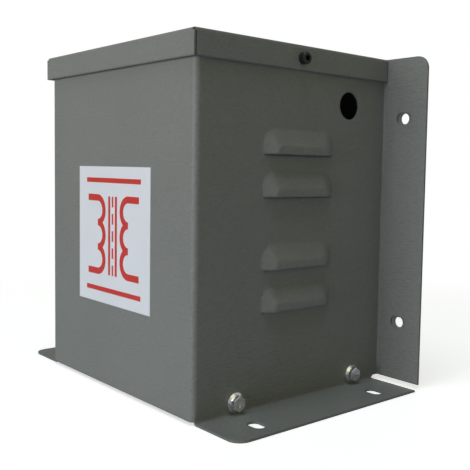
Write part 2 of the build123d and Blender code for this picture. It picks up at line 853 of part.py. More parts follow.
with BuildPart() as bracket:
    add(folded(bracket_plane, bracket_fold, bracket_radii, sheet, Side.LEFT, bracket_length))
    with BuildSketch(Plane.XY.offset(core_top)):
        with Locations((0, core_y)):
            with GridLocations(bracket_screw_spacing, 2 * bracket_screw_y, 2, 2):
                Circle((m5 + hole_clear) / 2)
    extrude(amount=2 * sheet, mode=Mode.SUBTRACT)
    with BuildSketch(Plane.XY.offset(bracket_top)):
        with Locations((0, core_y)):
            with GridLocations(rail_length - 2 * rivet_inset, 0, 2, 1):
                Circle((rivet_diameter + thread_clear) / 2)
    extrude(amount=-2 * sheet, mode=Mode.SUBTRACT)
save(bracket.part, "terminal_bracket")

bracket_screw_places = [
    (x, core_y + y)
    for x in (-bracket_screw_spacing / 2, bracket_screw_spacing / 2)
    for y in (-bracket_screw_y, bracket_screw_y)
]
ledge_under = core_top - clamp_sheet
bracket_screw_length = sheet + clamp_sheet + m5_nut + m5 * thread_end

with BuildPart() as bracket_screws:
    for x, y in bracket_screw_places:
        seat = facing((x, y, core_top + sheet), down)
        add(hex_bolt(m5, m5_flats, m5_nut, bracket_screw_length).moved(seat))
save(bracket_screws.part, "bracket_screws")

with BuildPart() as bracket_nuts:
    for x, y in bracket_screw_places:
        add(hex_nut(m5, m5_flats, m5_nut).moved(facing((x, y, ledge_under), down)))
save(bracket_nuts.part, "bracket_nuts")

# Top-hat rail, riveted to the bracket
rail_top = bracket_top + rail_height
rail_bend = bend_inside + rail_sheet
rail_flange = rail_top - rail_sheet

rail_fold = [
    (core_y - rail_width / 2, rail_flange),
    (core_y - rail_base / 2, rail_flange),
    (core_y - rail_base / 2, bracket_top),
    (core_y + rail_base / 2, bracket_top),
    (core_y + rail_base / 2, rail_flange),
    (core_y + rail_width / 2, rail_flange),
]
rail_radii = [bend_inside, rail_bend, rail_bend, bend_inside]
rail_plane = Plane.YZ.offset(-rail_length / 2)

with BuildPart() as rail:
    add(folded(rail_plane, rail_fold, rail_radii, rail_sheet, Side.LEFT, rail_length))
    with BuildSketch(Plane.XY.offset(bracket_top)):
        with Locations((0, core_y)):
            with GridLocations(rail_length - 2 * rivet_inset, 0, 2, 1):
                Circle((rivet_diameter + thread_clear) / 2)
    extrude(amount=2 * rail_sheet, mode=Mode.SUBTRACT)
save(rail.part, "terminal_rail")

with BuildPart() as rivets:
    with BuildSketch(Plane.XY.offset(bracket_top + rail_sheet)):
        with Locations((0, core_y)):
            with GridLocations(rail_length - 2 * rivet_inset, 0, 2, 1):
                Circle(rivet_head / 2)
    extrude(amount=rail_sheet)
    with BuildSketch(Plane.XY.offset(bracket_top + rail_sheet)):
        with Locations((0, core_y)):
            with GridLocations(rail_length - 2 * rivet_inset, 0, 2, 1):
                Circle(rivet_diameter / 2)
    extrude(amount=-(rail_sheet + sheet))
    with BuildSketch(Plane.XY.offset(bracket_top - sheet)):
        with Locations((0, core_y)):
            with GridLocations(rail_length - 2 * rivet_inset, 0, 2, 1):
                Circle(rivet_tail / 2)
    extrude(amount=-rail_sheet)
save(rivets.part, "rail_rivets")

# Terminals, clipped over the flanges of the rail
hook = rail_sheet + clearance
hook_reach = rail_width / 2 - rail_sheet
screw_y = (terminal_foot + terminal_head) / 4

with BuildPart() as terminal:
    with BuildSketch(Plane.YZ.offset(-(terminal_pitch - terminal_gap) / 2)):
        with BuildLine():
            Polyline(
                (core_y, rail_top),
                (core_y + rail_width / 2 + clearance, rail_top),
                (core_y + rail_width / 2 + clearance, rail_top - hook),
                (core_y + hook_reach, rail_top - hook),
                (core_y + hook_reach, rail_top - 2 * hook),
                (core_y + terminal_foot / 2, rail_top - 2 * hook),
                (core_y + terminal_foot / 2, rail_top + terminal_shoulder),
                (core_y + terminal_head / 2, rail_top + terminal_shoulder),
                (core_y + terminal_head / 2, rail_top + terminal_height),
                (core_y, rail_top + terminal_height),
            )
            mirror(about=Plane.YZ.offset(core_y))
        make_face()
    extrude(amount=terminal_pitch - terminal_gap)
    fillet(
        terminal.edges()
        .filter_by(Axis.X)
        .filter_by(lambda e: e.center().Z > rail_top + terminal_height - clearance),
        radius=2 * rail_sheet,
    )
    # Wire entries at both ends, stopped by the metal cage between them, and the wells of the screws
    with BuildSketch(Plane.XZ.offset(-core_y)):
        with Locations((0, rail_top + terminal_entry)):
            Circle((lead_diameter + bobbin_clear) / 2)
    extrude(amount=terminal_foot / 2, both=True, mode=Mode.SUBTRACT)
    with BuildSketch(Plane.XZ.offset(-core_y)):
        with Locations((0, rail_top + terminal_entry)):
            Circle(terminal_cage / 2)
    extrude(amount=terminal_head / 2, both=True)
    with BuildSketch(Plane.XY.offset(rail_top + terminal_shoulder)):
        with Locations((0, core_y)):
            with GridLocations(0, 2 * screw_y, 1, 2):
                Circle(terminal_well / 2)
    extrude(amount=-(terminal_shoulder - terminal_entry), mode=Mode.SUBTRACT)

terminal_places = {
    "primary_terminal_1": primary_lead_x[0],
    "primary_terminal_2": primary_lead_x[1],
    "secondary_terminal_1": secondary_lead_x[0],
    "secondary_terminal_2": secondary_lead_x[1],
    "earth_terminal": earth_terminal_x,
}
for name, x in terminal_places.items():
    save(terminal.part.moved(Location((x, 0, 0))), name)

with BuildPart() as terminal_screws:
    for x in terminal_places.values():
        for y in (core_y - screw_y, core_y + screw_y):
            with BuildSketch(Plane.XY.offset(rail_top + terminal_entry + lead_diameter / 2)):
                with Locations((x, y)):
                    Circle(terminal_screw / 2)
            extrude(amount=terminal_shoulder - terminal_entry - lead_diameter)
            with BuildSketch(Plane.XY.offset(rail_top + terminal_shoulder - lead_diameter / 2)):
                with Locations((x, y)):
                    Rectangle(terminal_screw, terminal_screw_slot)
            extrude(amount=-terminal_screw_slot_depth, mode=Mode.SUBTRACT)
save(terminal_screws.part, "terminal_screws")

# End stops that hold the row of terminals together
stop_inner = abs(primary_lead_x[0]) + terminal_pitch / 2

with BuildPart() as end_stop:
    with BuildSketch(Plane.YZ.offset(stop_inner)):
        with BuildLine():
            Polyline(
                (core_y, rail_top),
                (core_y + rail_width / 2 + clearance, rail_top),
                (core_y + rail_width / 2 + clearance, rail_top - hook),
                (core_y + hook_reach, rail_top - hook),
                (core_y + hook_reach, rail_top - 2 * hook),
                (core_y + terminal_foot / 2, rail_top - 2 * hook),
                (core_y + terminal_foot / 2, rail_top + terminal_entry),
                (core_y + terminal_head / 2, rail_top + end_stop_height),
                (core_y, rail_top + end_stop_height),
            )
            mirror(about=Plane.YZ.offset(core_y))
        make_face()
    extrude(amount=end_stop_width)
save(end_stop.part, "end_stop_right")
save(end_stop.part.mirror(Plane.YZ), "end_stop_left")

# Earth stud, standing on the tray in the front right corner
lug_level = tray_top + m6_nut
lug_levels = (lug_level, lug_level + lug_sheet)
stud_washer = lug_level + 2 * lug_sheet
stud_nut_high = stud_washer + washer_sheet

earth_stud = hex_bolt(m6, m6_flats, m6_head, tray_sheet + earth_stud_height)
save(earth_stud.moved(Location((earth_x, earth_y, tray_under))), "earth_stud")

with BuildPart() as earth_nuts:
    for z in (tray_top, stud_nut_high):
        add(hex_nut(m6, m6_flats, m6_nut).moved(Location((earth_x, earth_y, z))))
save(earth_nuts.part, "earth_nuts")

earth_washer = washer(m6, 2 * m6, washer_sheet)
save(earth_washer.moved(Location((earth_x, earth_y, stud_washer))), "earth_washer")

# Ring lugs on the stud: tongue on the ring's level, barrel beyond it
barrel_wall = lug_sheet / 2
barrel_radius = lead_diameter / 2 + layer_clear + barrel_wall
barrel_start = lug_ring / 2 + barrel_radius
barrel_end = barrel_start + lug_barrel
barrel_lift = lug_sheet / 2

with BuildPart() as lug:
    with BuildSketch():
        Circle(lug_ring / 2)
        with Locations((-barrel_start / 2, 0)):
            Rectangle(barrel_start, 2 * barrel_radius - lug_sheet)
    extrude(amount=lug_sheet)
    with BuildSketch(Plane.YZ.offset(-barrel_start)):
        with Locations((0, barrel_lift)):
            Circle(barrel_radius)
    extrude(amount=-lug_barrel)
    with BuildSketch(Plane.YZ.offset(-barrel_end)):
        with Locations((0, barrel_lift)):
            Circle(barrel_radius - barrel_wall)
    extrude(amount=lug_barrel - barrel_wall, mode=Mode.SUBTRACT)
    with BuildSketch():
        Circle((m6 + hole_clear) / 2)
    extrude(amount=lug_sheet, mode=Mode.SUBTRACT)

screen_turn = 40  # degrees
for name, level, turn in (
    ("earth_lug", lug_levels[0], 0),
    ("screen_lug", lug_levels[1], screen_turn),
):
    save(lug.part.moved(Location((earth_x, earth_y, level), (0, 0, turn))), name)

# Leads, from the top of the coil and from the stud
winding_top = winding_bottom + winding_height
lead_turn = cheek_top + (core_top - cheek_top) / 2
lead_rise = core_y - bracket_end - 2 * lead_diameter
terminal_front = core_y - terminal_head / 2 - clearance
entry_z = rail_top + terminal_entry

for prefix, places, lead_y in (
    ("primary", primary_lead_x, primary_lead_y),
    ("secondary", secondary_lead_x, secondary_lead_y),
):
    for number, x in enumerate(places, start=1):
        wire = lead(
            [
                (x, lead_y, winding_top),
                (x, lead_y, lead_turn - lead_diameter),
                (x, lead_rise, lead_turn + lead_diameter),
                (x, lead_rise, entry_z),
                (x, terminal_front, entry_z),
            ]
        )
        save(wire, f"{prefix}_lead_{number}")

earth_wire_x = earth_x - barrel_end - lead_slack
earth_wire_z = lug_levels[0] + barrel_lift
earth_lead = lead(
    [
        (earth_x - barrel_start - 2 * barrel_wall, earth_y, earth_wire_z),
        (earth_wire_x, earth_y, earth_wire_z),
        (earth_wire_x, earth_y, entry_z - lead_slack),
        (earth_terminal_x, lead_rise, entry_z),
        (earth_terminal_x, terminal_front, entry_z),
    ]
)
save(earth_lead, "earth_lead")

screen_wire = Location((earth_x, earth_y, lug_levels[1] + barrel_lift), (0, 0, screen_turn))
screen_wire_start = (screen_wire * Pos(-barrel_start - 2 * barrel_wall, 0, 0)).position
screen_wire_turn = (screen_wire * Pos(-barrel_end - screen_lead_slack, 0, 0)).position
screen_wire_x = (screen_wire_turn.X + screen_lead_x) / 2
screen_lead = lead(
    [
        tuple(screen_wire_start),
        tuple(screen_wire_turn),
        (screen_wire_turn.X, screen_wire_turn.Y, lead_turn - lead_slack),
        (screen_wire_x, lead_rise - 2 * lead_diameter, lead_turn + lead_diameter),
        (screen_lead_x, screen_lead_y, lead_turn + lead_diameter),
        (screen_lead_x, screen_lead_y, winding_top),
    ]
)
save(screen_lead, "screen_lead")

# Label, stuck on the front panel
with BuildPart() as label:
    with BuildSketch(Plane.XZ.offset(-front_y)):
        with Locations((label_centre_x, label_centre_z)):
            RectangleRounded(label_size, label_size, label_sheet)
    extrude(amount=label_sheet)
save(label.part, "front_label")
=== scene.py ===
from math import asin, cos, pi, radians, sin

import bmesh
import bpy
from mathutils import Matrix, Vector


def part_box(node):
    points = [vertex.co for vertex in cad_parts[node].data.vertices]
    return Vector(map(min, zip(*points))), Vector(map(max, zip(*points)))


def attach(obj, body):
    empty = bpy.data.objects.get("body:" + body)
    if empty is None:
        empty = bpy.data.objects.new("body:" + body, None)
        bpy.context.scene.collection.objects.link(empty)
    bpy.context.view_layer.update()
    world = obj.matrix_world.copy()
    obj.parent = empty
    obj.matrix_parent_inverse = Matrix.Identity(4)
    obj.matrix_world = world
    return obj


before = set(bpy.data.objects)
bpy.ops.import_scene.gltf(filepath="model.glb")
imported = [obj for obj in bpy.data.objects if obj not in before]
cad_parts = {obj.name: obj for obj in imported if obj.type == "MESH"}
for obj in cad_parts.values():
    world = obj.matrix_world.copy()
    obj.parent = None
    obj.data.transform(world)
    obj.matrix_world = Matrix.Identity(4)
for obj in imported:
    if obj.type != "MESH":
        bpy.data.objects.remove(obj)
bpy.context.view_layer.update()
MM = 0.001

# Camera, set up as the photograph was taken
CAMERA_PLACE = Vector((494.1, -370.9, 171.2)) * MM
CAMERA_AZIMUTH = 47.70
CAMERA_ELEVATION = 4.18
CAMERA_ROLL = 1.12
CAMERA_LENS = 56.56
CAMERA_SENSOR = 36.0
CAMERA_SHIFT = (-0.1021, -0.0256)
CAMERA_REACH = 50.0

# Soft lights: name, place and size in metres, power in watts, colour
STUDIO_LIGHTS = (
    ("key", (0.0, -2.4, 0.25), 1.3, 40.0, (1.0, 1.0, 0.99)),
    ("top", (0.4, -0.6, 2.3), 1.2, 19.0, (0.74, 0.86, 1.0)),
    ("side", (2.3, 0.3, 0.9), 1.2, 2.4, (1.0, 0.90, 0.42)),
    ("rear", (-1.4, 2.2, 0.7), 1.3, 13.0, (1.0, 1.0, 0.98)),
)
LIGHT_TARGET = (0, 0, 0.13)

# The world: what lights the part, what it mirrors and what the camera sees
SKY = (0.084, 0.071, 0.018)
MIRRORED = (0.42, 0.40, 0.34)
BACKDROP = (1.0, 1.0, 1.0)

# The floor: how it lights the part, and how the camera sees it
FLOOR_HALF = 6.0
FLOOR_DROP = 0.05 * MM
FLOOR_PAPER = (0.68, 0.73, 0.85, 1)
FLOOR_SHADOWED = (0.95, 0.95, 0.95, 1)
FLOOR_GLOW = (0.60, 0.60, 0.60, 1)
SHADOW_FADES_FROM = 0.3
SHADOW_ENDS_AT = 0.7

# Noise lies mostly between these values
NOISE_LOW, NOISE_HIGH = 0.3, 0.7

# A wave texture has this many bands to each two pi of its scale
BANDS_PER_SCALE = 20.0

# The coat rounds the edges it covers, in shading only
COAT_EDGE = 2.4 * MM
EDGE_SAMPLES = 4

# Coat, print and label colours, linear
COAT_GREY = (0.211, 0.221, 0.211)
PRINT_RED = (0.66, 0.034, 0.026)
LABEL_WHITE = (0.83, 0.86, 0.92)

# Print on the label
PRINT_SHEET = 0.08 * MM
COIL_TURNS = 3
COIL_RADIUS = 9.5 * MM
COIL_STROKE = 5.0 * MM
COIL_BASE = 22.5 * MM
LEAD_LENGTH = 15.0 * MM
CORE_BAR = (3.0 * MM, 60.0 * MM)
CORE_BAR_PLACE = 5.0 * MM
SCREEN_DASHES = 5
SCREEN_DASH = (2.2 * MM, 8.0 * MM)
SCREEN_PITCH = 13.0 * MM
RULE = (80.0 * MM, 3.6 * MM)
RULE_PLACE = 42.0 * MM
ARC_STEPS = 24


def studio_camera():
    """The camera that sees the part as the photograph does."""
    azimuth = radians(CAMERA_AZIMUTH)
    elevation = radians(CAMERA_ELEVATION)
    level_reach = cos(elevation)
    forward = Vector((-sin(azimuth) * level_reach, cos(azimuth) * level_reach, -sin(elevation)))
    level = forward.cross(Vector((0, 0, 1))).normalized()
    upright = level.cross(forward)
    roll = radians(CAMERA_ROLL)
    right = cos(roll) * level + sin(roll) * upright
    up = cos(roll) * upright - sin(roll) * level
    data = bpy.data.cameras.new("studio_camera")
    data.lens = CAMERA_LENS
    data.sensor_width = CAMERA_SENSOR
    data.shift_x, data.shift_y = CAMERA_SHIFT
    data.clip_end = CAMERA_REACH
    camera = bpy.data.objects.new("studio_camera", data)
    bpy.context.collection.objects.link(camera)
    turn = Matrix((right, up, -forward)).transposed().to_4x4()
    camera.matrix_world = Matrix.Translation(CAMERA_PLACE) @ turn
    bpy.context.scene.camera = camera


def soft_light(name, place, target, size, power, colour):
    """A large square lamp aimed at a point."""
    data = bpy.data.lights.new(name, "AREA")
    data.shape = "SQUARE"
    data.size = size
    data.energy = power
    data.color = colour
    lamp = bpy.data.objects.new(name, data)
    bpy.context.collection.objects.link(lamp)
    lamp.location = place
    aim = Vector(target) - Vector(place)
    lamp.rotation_euler = aim.to_track_quat("-Z", "Y").to_euler()


def studio_light():
    """Soft light from ahead of the front panel, and weaker ones above, to the right and behind."""
    for name, place, size, power, colour in STUDIO_LIGHTS:
        soft_light(name, place, LIGHT_TARGET, size, power, colour)


def studio_world():
    """White to the camera, a pale warm grey in reflections, a dim even sky to everything else."""
    world = bpy.data.worlds.new("studio")
    bpy.context.scene.world = world
    world.use_nodes = True
    nodes, links = world.node_tree.nodes, world.node_tree.links
    nodes.clear()
    output = nodes.new("ShaderNodeOutputWorld")
    path = nodes.new("ShaderNodeLightPath")
    shades = []
    for colour in (SKY, MIRRORED, BACKDROP):
        shade = nodes.new("ShaderNodeBackground")
        shade.inputs["Color"].default_value = colour + (1.0,)
        shades.append(shade)
    sky, mirrored, seen = shades
    below = nodes.new("ShaderNodeMixShader")
    links.new(path.outputs["Is Glossy Ray"], below.inputs[0])
    links.new(sky.outputs[0], below.inputs[1])
    links.new(mirrored.outputs[0], below.inputs[2])
    above = nodes.new("ShaderNodeMixShader")
    links.new(path.outputs["Is Camera Ray"], above.inputs[0])
    links.new(below.outputs[0], above.inputs[1])
    links.new(seen.outputs[0], above.inputs[2])
    links.new(above.outputs[0], output.inputs["Surface"])


def stage_floor():
    """A pale floor that keeps a faint shadow of the part."""
    mesh = bpy.data.meshes.new("floor")
    half = FLOOR_HALF
    corners = [(-half, -half, 0), (half, -half, 0), (half, half, 0), (-half, half, 0)]
    mesh.from_pydata(corners, [], [(0, 1, 2, 3)])
    floor = bpy.data.objects.new("floor", mesh)
    bpy.context.collection.objects.link(floor)
    floor.location.z = -FLOOR_DROP
    material = bpy.data.materials.new("floor_white")
    material.use_nodes = True
    nodes, links = material.node_tree.nodes, material.node_tree.links
    nodes.clear()
    output = nodes.new("ShaderNodeOutputMaterial")
    path = nodes.new("ShaderNodeLightPath")
    paper = nodes.new("ShaderNodeBsdfDiffuse")
    paper.inputs["Color"].default_value = FLOOR_PAPER
    glow = nodes.new("ShaderNodeEmission")
    glow.inputs["Color"].default_value = FLOOR_GLOW
    near = nodes.new("ShaderNodeAddShader")
    shadowed = nodes.new("ShaderNodeBsdfDiffuse")
    shadowed.inputs["Color"].default_value = FLOOR_SHADOWED
    links.new(shadowed.outputs[0], near.inputs[0])
    links.new(glow.outputs[0], near.inputs[1])
    plain = nodes.new("ShaderNodeEmission")
    place = nodes.new("ShaderNodeTexCoord")
    distance = nodes.new("ShaderNodeVectorMath")
    distance.operation = "LENGTH"
    links.new(place.outputs["Object"], distance.inputs[0])
    edge = nodes.new("ShaderNodeMapRange")
    edge.inputs["From Min"].default_value = SHADOW_FADES_FROM
    edge.inputs["From Max"].default_value = SHADOW_ENDS_AT
    links.new(distance.outputs["Value"], edge.inputs["Value"])
    seen = nodes.new("ShaderNodeMixShader")
    links.new(edge.outputs["Result"], seen.inputs[0])
    links.new(near.outputs[0], seen.inputs[1])
    links.new(plain.outputs[0], seen.inputs[2])
    floor_mix = nodes.new("ShaderNodeMixShader")
    links.new(path.outputs["Is Camera Ray"], floor_mix.inputs[0])
    links.new(paper.outputs[0], floor_mix.inputs[1])
    links.new(seen.outputs[0], floor_mix.inputs[2])
    links.new(floor_mix.outputs[0], output.inputs["Surface"])
    mesh.materials.append(material)


class Finish:
    """A procedural material built up on one principled shader, in object coordinates."""

    def __init__(self, name, colour, roughness, metallic=0.0):
        self.material = bpy.data.materials.new(name)
        self.material.use_nodes = True
        tree = self.material.node_tree
        self.nodes, self.links = tree.nodes, tree.links
        self.shader = self.nodes["Principled BSDF"]
        self.colour = tuple(colour) + (1.0,)
        self.shader.inputs["Base Color"].default_value = self.colour
        self.shader.inputs["Roughness"].default_value = roughness
        self.shader.inputs["Metallic"].default_value = metallic
        self.edges = None
        self.place = self.nodes.new("ShaderNodeTexCoord").outputs["Object"]

    def noise(self, grain, detail=3.0, stretch=(1, 1, 1)):
        """Noise whose grains are about the given size in metres."""
        mapping = self.nodes.new("ShaderNodeMapping")
        mapping.inputs["Scale"].default_value = stretch
        self.links.new(self.place, mapping.inputs["Vector"])
        texture = self.nodes.new("ShaderNodeTexNoise")
        texture.inputs["Scale"].default_value = 1.0 / grain
        texture.inputs["Detail"].default_value = detail
        self.links.new(mapping.outputs[0], texture.inputs["Vector"])
        return texture.outputs["Fac"]

    def bands(self, pitch, direction, distortion=0.0):
        """Even bands across one axis, one to each pitch in metres."""
        texture = self.nodes.new("ShaderNodeTexWave")
        texture.bands_direction = direction
        texture.inputs["Scale"].default_value = 2 * pi / (BANDS_PER_SCALE * pitch)
        texture.inputs["Distortion"].default_value = distortion
        self.links.new(self.place, texture.inputs["Vector"])
        return texture.outputs["Fac"]

    def spread(self, value, low, high):
        """The part of a noise that matters, mapped to a range."""
        node = self.nodes.new("ShaderNodeMapRange")
        node.inputs["From Min"].default_value = NOISE_LOW
        node.inputs["From Max"].default_value = NOISE_HIGH
        node.inputs["To Min"].default_value = low
        node.inputs["To Max"].default_value = high
        self.links.new(value, node.inputs["Value"])
        return node.outputs["Result"]

    def shade(self, *factors):
        """Multiply the base colour by each factor in turn."""
        colour = None
        for factor in factors:
            node = self.nodes.new("ShaderNodeVectorMath")
            node.operation = "SCALE"
            if colour is None:
                node.inputs[0].default_value = self.colour[:3]
            else:
                self.links.new(colour, node.inputs[0])
            self.links.new(factor, node.inputs["Scale"])
            colour = node.outputs["Vector"]
        self.links.new(colour, self.shader.inputs["Base Color"])
        return self

    def gloss(self, value, low, high):
        """Let the roughness wander between two values."""
        self.links.new(self.spread(value, low, high), self.shader.inputs["Roughness"])
        return self

    def round_edges(self, radius):
        """Shade the edges as if the coat rounded them by a radius."""
        node = self.nodes.new("ShaderNodeBevel")
        node.samples = EDGE_SAMPLES
        node.inputs["Radius"].default_value = radius
        self.edges = node.outputs["Normal"]

    def bump(self, *reliefs):
        """Stack reliefs on the edges' shading, each a value with its depth in metres."""
        normal = self.edges
        for value, depth in reliefs:
            node = self.nodes.new("ShaderNodeBump")
            node.inputs["Strength"].default_value = 1.0
            node.inputs["Distance"].default_value = depth
            self.links.new(value, node.inputs["Height"])
            if normal is not None:
                self.links.new(normal, node.inputs["Normal"])
            normal = node.outputs["Normal"]
        self.links.new(normal, self.shader.inputs["Normal"])
        return self


def powder_coat():
    """Fine textured grey powder coat."""
    coat = Finish("grey_powder_coat", COAT_GREY, roughness=0.5)
    coat.shader.inputs["Specular IOR Level"].default_value = 0.42
    cloud = coat.noise(90 * MM, detail=2.0)
    peel = coat.noise(2.3 * MM, detail=3.0, stretch=(0.7, 0.7, 1.5))
    dust = coat.noise(0.8 * MM, detail=2.0)
    coat.shade(coat.spread(cloud, low=0.97, high=1.03), coat.spread(peel, low=0.93, high=1.07))
    coat.gloss(peel, low=0.40, high=0.60)
    coat.round_edges(COAT_EDGE)
    return coat.bump((peel, 0.48 * MM), (dust, 0.16 * MM)).material


def zinc_sheet():
    """Dull zinc-plated sheet with a faint grain."""
    zinc = Finish("zinc_sheet", (0.55, 0.55, 0.53), roughness=0.38, metallic=1.0)
    grain = zinc.noise(12 * MM, detail=3.0, stretch=(1, 6, 1))
    zinc.shade(zinc.spread(grain, low=0.9, high=1.08))
    zinc.gloss(grain, low=0.3, high=0.48)
    return zinc.bump((grain, 0.01 * MM)).material


def bright_zinc():
    """Bright zinc on bolts, nuts and washers."""
    zinc = Finish("bright_zinc", (0.88, 0.90, 0.92), roughness=0.14, metallic=1.0)
    cloud = zinc.noise(3 * MM, detail=3.0)
    zinc.shade(zinc.spread(cloud, low=0.86, high=1.06))
    zinc.gloss(cloud, low=0.08, high=0.2)
    return zinc.bump((cloud, 0.01 * MM)).material


def black_oxide():
    """Black oxide on the lid screws."""
    oxide = Finish("black_oxide", (0.034, 0.033, 0.037), roughness=0.34, metallic=0.6)
    cloud = oxide.noise(1.5 * MM, detail=3.0)
    oxide.shade(oxide.spread(cloud, low=0.7, high=1.3))
    oxide.gloss(cloud, low=0.28, high=0.46)
    return oxide.bump((cloud, 0.02 * MM)).material


def laminations():
    """Varnished steel sheets seen on edge, stacked along the depth."""
    steel = Finish("laminations", (0.20, 0.19, 0.185), roughness=0.42, metallic=0.7)
    edges = steel.bands(1.0 * MM, "Y", distortion=0.4)
    cloud = steel.noise(20 * MM, detail=3.0)
    steel.shade(steel.spread(edges, low=0.7, high=1.15), steel.spread(cloud, low=0.85, high=1.1))
    steel.gloss(cloud, low=0.3, high=0.5)
    return steel.bump((edges, 0.08 * MM)).material


def clamp_paint():
    """Black paint on the clamp angles."""
    paint = Finish("black_paint", (0.03, 0.03, 0.032), roughness=0.4)
    grain = paint.noise(4 * MM, detail=3.0)
    paint.shade(paint.spread(grain, low=0.85, high=1.2))
    paint.gloss(grain, low=0.32, high=0.5)
    return paint.bump((grain, 0.03 * MM)).material


def wire_turns(name, colour, pitch):
    """Turns of enamelled wire, wound round the upright axis, with painted shade in the grooves
    between turns.
    """
    wire = Finish(name, colour, roughness=0.3, metallic=0.85)
    turns_and_groove_shade = wire.bands(pitch, "Z", distortion=0.15)
    # The colour darkens in the grooves between turns: painted shade
    wire.shade(wire.spread(turns_and_groove_shade, low=0.45, high=1.1))
    wire.gloss(turns_and_groove_shade, low=0.4, high=0.24)
    return wire.bump((turns_and_groove_shade, 0.4 * pitch)).material


def copper_foil():
    """Bare copper foil with faint creases."""
    foil = Finish("copper_foil", (0.72, 0.36, 0.2), roughness=0.28, metallic=1.0)
    crease = foil.noise(14 * MM, detail=4.0, stretch=(1, 1, 3))
    foil.shade(foil.spread(crease, low=0.85, high=1.08))
    return foil.bump((crease, 0.06 * MM)).material


def insulation_film():
    """Amber film lapped round the coil."""
    film = Finish("amber_film", (0.55, 0.33, 0.08), roughness=0.25)
    lap = film.bands(16 * MM, "Z", distortion=0.3)
    crease = film.noise(9 * MM, detail=3.0)
    film.shade(film.spread(lap, low=0.88, high=1.06), film.spread(crease, low=0.92, high=1.06))
    return film.bump((lap, 0.05 * MM), (crease, 0.04 * MM)).material


def moulded(name, colour, roughness=0.45):
    """Moulded plastic with a fine spark texture."""
    plastic = Finish(name, colour, roughness)
    grain = plastic.noise(0.5 * MM, detail=2.0)
    cloud = plastic.noise(14 * MM, detail=2.0)
    plastic.shade(plastic.spread(cloud, low=0.95, high=1.04))
    plastic.gloss(grain, roughness - 0.06, roughness + 0.08)
    return plastic.bump((grain, 0.012 * MM)).material


def sleeving(name, colour):
    """Wire sleeving, slightly glossy."""
    sleeve = Finish(name, colour, roughness=0.32)
    grain = sleeve.noise(3 * MM, detail=2.0)
    sleeve.shade(sleeve.spread(grain, low=0.93, high=1.06))
    return sleeve.bump((grain, 0.02 * MM)).material


def tinned():
    """Tinned copper on the lugs."""
    tin = Finish("tinned_copper", (0.68, 0.67, 0.64), roughness=0.3, metallic=1.0)
    cloud = tin.noise(2 * MM, detail=3.0)
    tin.shade(tin.spread(cloud, low=0.88, high=1.05))
    return tin.bump((cloud, 0.01 * MM)).material


def label_film():
    """White film label."""
    film = Finish("label_film", LABEL_WHITE, roughness=0.42)
    grain = film.noise(2.2 * MM, detail=3.0)
    cloud = film.noise(60 * MM, detail=1.0)
    film.shade(film.spread(cloud, low=0.98, high=1.01))
    return film.bump((grain, 0.02 * MM)).material


def print_ink():
    """Red printing ink."""
    ink = Finish("red_ink", PRINT_RED, roughness=0.4)
    grain = ink.noise(1.2 * MM, detail=3.0)
    ink.shade(ink.spread(grain, low=0.93, high=1.06))
    return ink.bump((grain, 0.01 * MM)).material


def dress(material, *names):
    """Give CAD nodes a material in all their slots."""
    for name in names:
        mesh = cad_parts[name].data
        if not mesh.materials:
            mesh.materials.append(material)
        for slot in range(len(mesh.materials)):
            mesh.materials[slot] = material


def dress_nodes():
    """Every CAD node in its finish."""
    zinc = bright_zinc()
    grey_plastic = moulded("grey_polyamide", (0.30, 0.30, 0.28))
    dress(powder_coat(), "case_shell", "back_plate", "lid")
    dress(zinc_sheet(), "base_tray", "terminal_bracket", "terminal_rail")
    dress(zinc, *[f"chassis_bolt_{number}" for number in range(1, 5)])
    dress(zinc, "tray_nuts", "lid_nuts", "core_bolts", "core_washers", "core_nuts", "tray_bolts")
    dress(zinc, "tray_washers", "tray_bolt_nuts", "bracket_screws", "bracket_nuts", "rail_rivets")
    dress(zinc, "terminal_screws", "earth_stud", "earth_nuts", "earth_washer")
    dress(black_oxide(), "lid_screw_left", "lid_screw_right")
    dress(laminations(), "core_e_stack", "core_i_stack")
    for level in ("lower", "upper"):
        dress(clamp_paint(), f"{level}_clamp_front", f"{level}_clamp_rear")
    dress(wire_turns("primary_wire", (0.50, 0.17, 0.06), 1.6 * MM), "primary_winding")
    dress(wire_turns("secondary_wire", (0.58, 0.22, 0.08), 2.2 * MM), "secondary_winding")
    dress(copper_foil(), "screen_foil")
    dress(insulation_film(), "inner_insulation", "outer_insulation", "coil_wrap")
    dress(moulded("natural_nylon", (0.66, 0.62, 0.5)), "bobbin")
    dress(grey_plastic, "primary_terminal_1", "primary_terminal_2", "secondary_terminal_1")
    dress(grey_plastic, "secondary_terminal_2", "end_stop_left", "end_stop_right")
    dress(moulded("green_polyamide", (0.05, 0.22, 0.03)), "earth_terminal")
    dress(sleeving("brown_sleeving", (0.07, 0.025, 0.012)), "primary_lead_1", "primary_lead_2")
    dress(sleeving("red_sleeving", (0.36, 0.012, 0.01)), "secondary_lead_1", "secondary_lead_2")
    dress(sleeving("green_sleeving", (0.03, 0.20, 0.02)), "earth_lead", "screen_lead")
    dress(tinned(), "earth_lug", "screen_lug")
    dress(label_film(), "front_label")


def arc(centre, radius, start, end):
    """Points along an arc in the label's plane."""
    steps = [start + (end - start) * step / ARC_STEPS for step in range(ARC_STEPS + 1)]
    return [(centre[0] + radius * cos(angle), centre[1] + radius * sin(angle)) for angle in steps]


def turn_outline():
    """One turn of the coil, open to the left, as tall as two radii."""
    outer, inner = COIL_RADIUS + COIL_STROKE / 2, COIL_RADIUS - COIL_STROKE / 2
    meeting = asin(COIL_RADIUS / outer)
    outline = [(0, -COIL_RADIUS)] + arc((0, 0), outer, -meeting, meeting) + [(0, COIL_RADIUS)]
    return outline + arc((0, 0), inner, pi / 2, -pi / 2)


def lead_outline():
    """The lead above the last turn, measured from that turn's centre."""
    outer, inner = COIL_RADIUS + COIL_STROKE / 2, COIL_RADIUS - COIL_STROKE / 2
    meeting = asin(COIL_RADIUS / outer)
    start = [(-LEAD_LENGTH, inner), (0, inner), (0, COIL_RADIUS)]
    return start + arc((0, 0), outer, meeting, pi / 2) + [(-LEAD_LENGTH, outer)]


